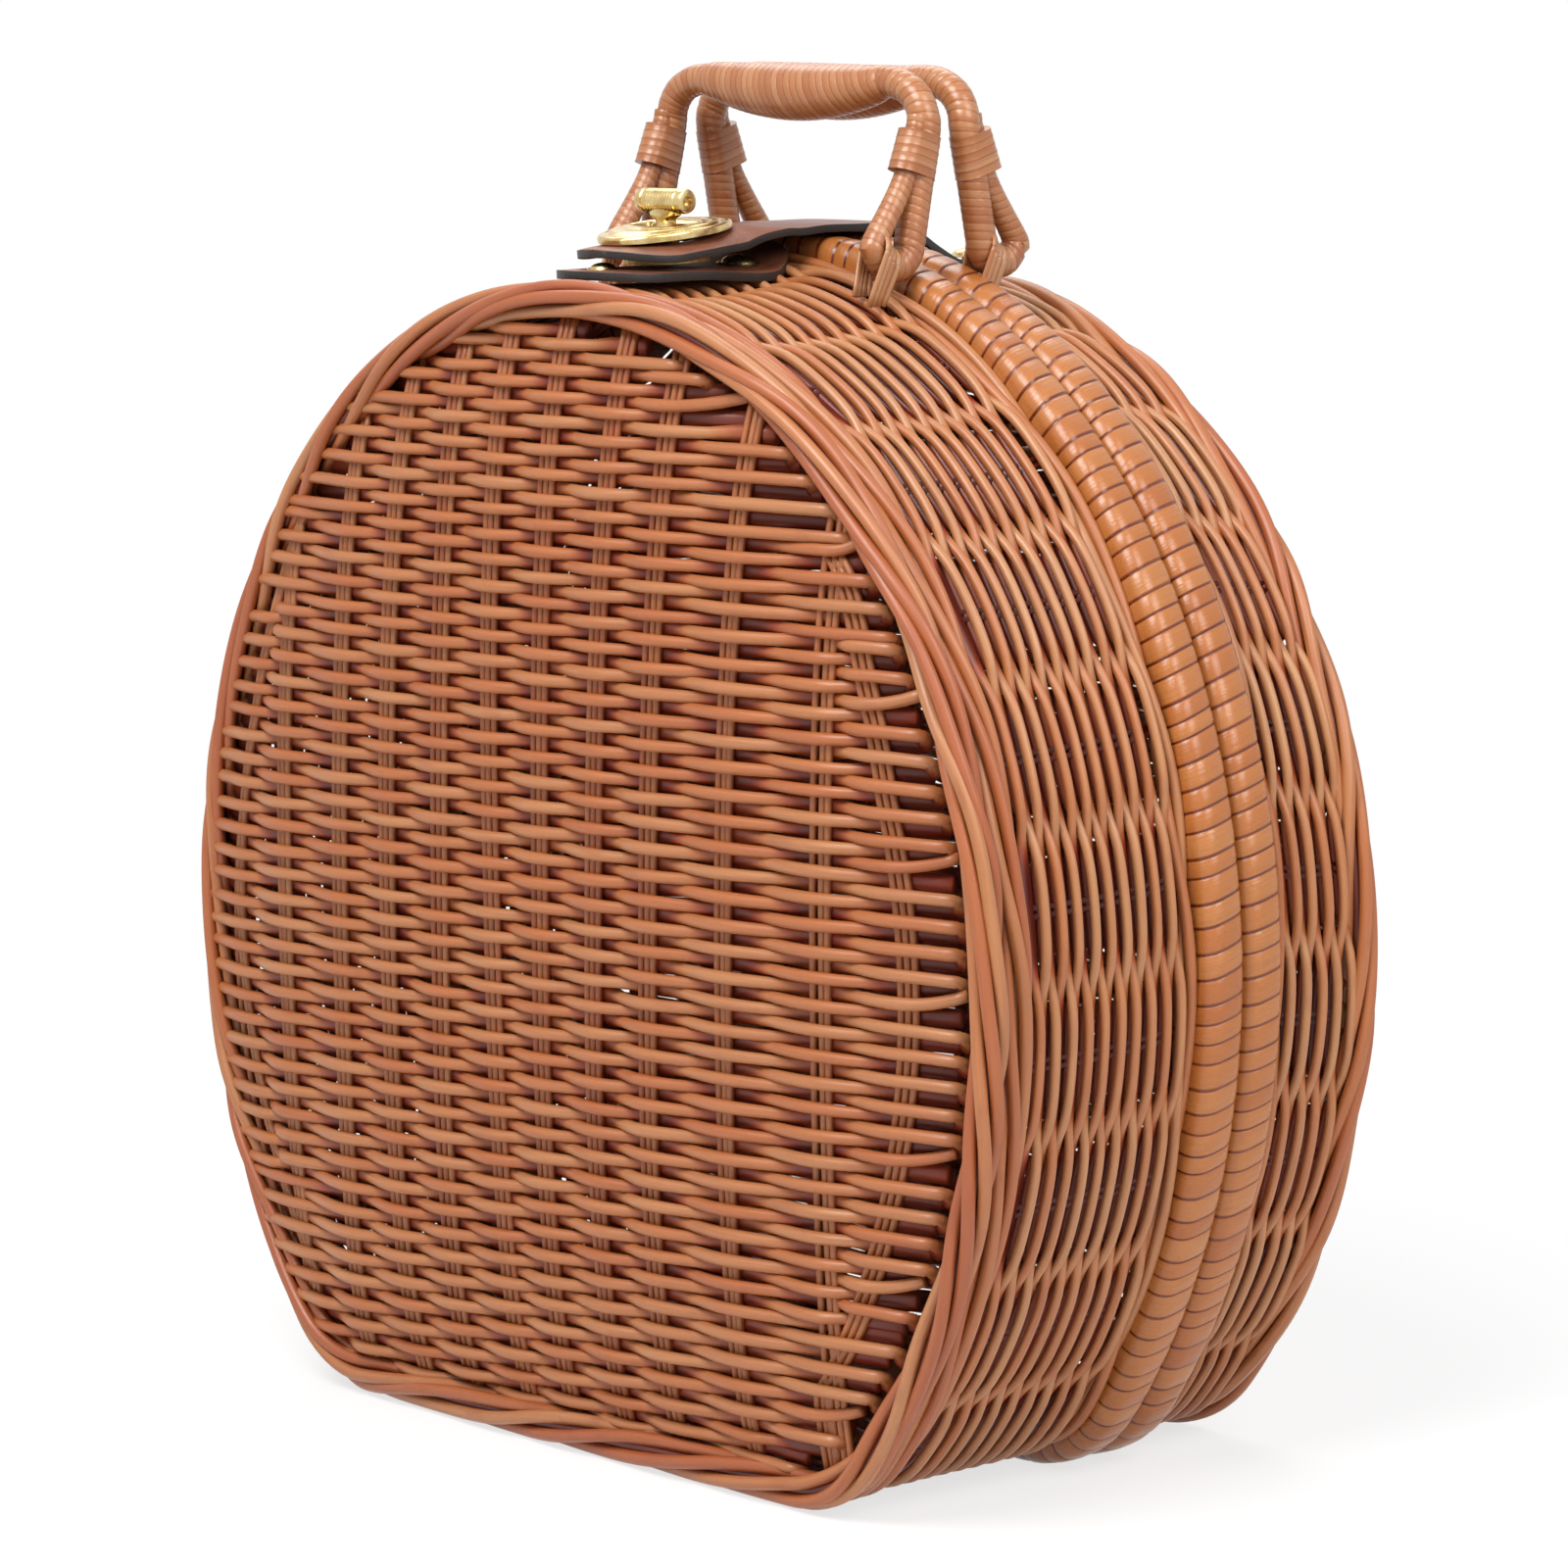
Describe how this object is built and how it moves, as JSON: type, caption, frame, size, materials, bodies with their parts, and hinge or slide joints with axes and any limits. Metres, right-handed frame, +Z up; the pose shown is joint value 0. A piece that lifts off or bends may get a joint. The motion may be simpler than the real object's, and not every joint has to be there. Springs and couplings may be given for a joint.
{
  "type": "wicker clamshell basket",
  "caption": "Round flat-bottomed wicker case of two hinged woven halves with wrapped rims, swinging twin handles and a leather strap with a brass turn lock.",
  "frame": {"origin": "middle of the bounding box at the bottom, on the surface that the case stands on", "axes": "+Z up, -Y out of the front panel of the deep half, +X to the right seen from the front"},
  "size_m": [0.3038, 0.1522, 0.346],
  "materials": {
    "weave": "satin imitation rattan rods, orange tan",
    "peel": "glossy flat imitation peel, yellower tan",
    "leather": "brown smooth leather with black edges",
    "brass": "polished brass plating"
  },
  "bodies": {
    "base": {"base_panel": "weave", "base_border": "weave", "base_wall": "weave", "base_rim_hoop": "weave", "base_rim_binding": "peel", "clasp_patch": "leather", "patch_rivet_front": "brass", "patch_rivet_rear": "brass", "lock_base": "brass", "front_lashing_left": "peel", "front_lashing_right": "peel", "hinge_base_leaf_left": "brass", "hinge_base_leaf_right": "brass", "hinge_pin_left": "brass", "hinge_pin_right": "brass", "hinge_base_nail_left_1": "brass", "hinge_base_nail_left_2": "brass", "hinge_base_nail_right_1": "brass", "hinge_base_nail_right_2": "brass"},
    "lid": {"lid_panel": "weave", "lid_border": "weave", "lid_wall": "weave", "lid_rim_hoop": "weave", "lid_rim_binding": "peel", "strap_anchor": "leather", "anchor_rivet_left": "brass", "anchor_rivet_right": "brass", "back_lashing_left": "peel", "back_lashing_right": "peel", "hinge_lid_leaf_left": "brass", "hinge_lid_leaf_right": "brass", "hinge_lid_nail_left_1": "brass", "hinge_lid_nail_left_2": "brass", "hinge_lid_nail_right_1": "brass", "hinge_lid_nail_right_2": "brass"},
    "strap": {"strap_flap": "leather", "strap_plate": "brass"},
    "turn_knob": {"turn_knob": "brass"},
    "front_handle": {"front_handle_core": "peel", "front_handle_grip": "peel", "front_handle_binding_left": "peel", "front_handle_binding_right": "peel"},
    "back_handle": {"back_handle_core": "peel", "back_handle_grip": "peel", "back_handle_binding_left": "peel", "back_handle_binding_right": "peel"}
  },
  "joints": [
    {"name": "lid_hinge", "type": "hinge", "parent": "base", "child": "lid", "pos_m": [0, 0.0195, 0.0017], "axis": [-1, 0, 0], "range_deg": [0, 130]},
    {"name": "strap_lift", "type": "hinge", "parent": "lid", "child": "strap", "pos_m": [0, 0.0335, 0.3065], "axis": [-1, 0, 0], "range_deg": [0, 40]},
    {"name": "knob_turn", "type": "hinge", "parent": "base", "child": "turn_knob", "pos_m": [0, -0.031, 0.2965], "axis": [0, -0.0547, 0.9985], "range_deg": [0, 90]},
    {"name": "front_handle_swing", "type": "hinge", "parent": "base", "child": "front_handle", "pos_m": [0, 0.001, 0.3017], "axis": [1, 0, 0], "range_deg": [0, 55]},
    {"name": "back_handle_swing", "type": "hinge", "parent": "lid", "child": "back_handle", "pos_m": [0, 0.038, 0.3017], "axis": [-1, 0, 0], "range_deg": [0, 55]}
  ]
}
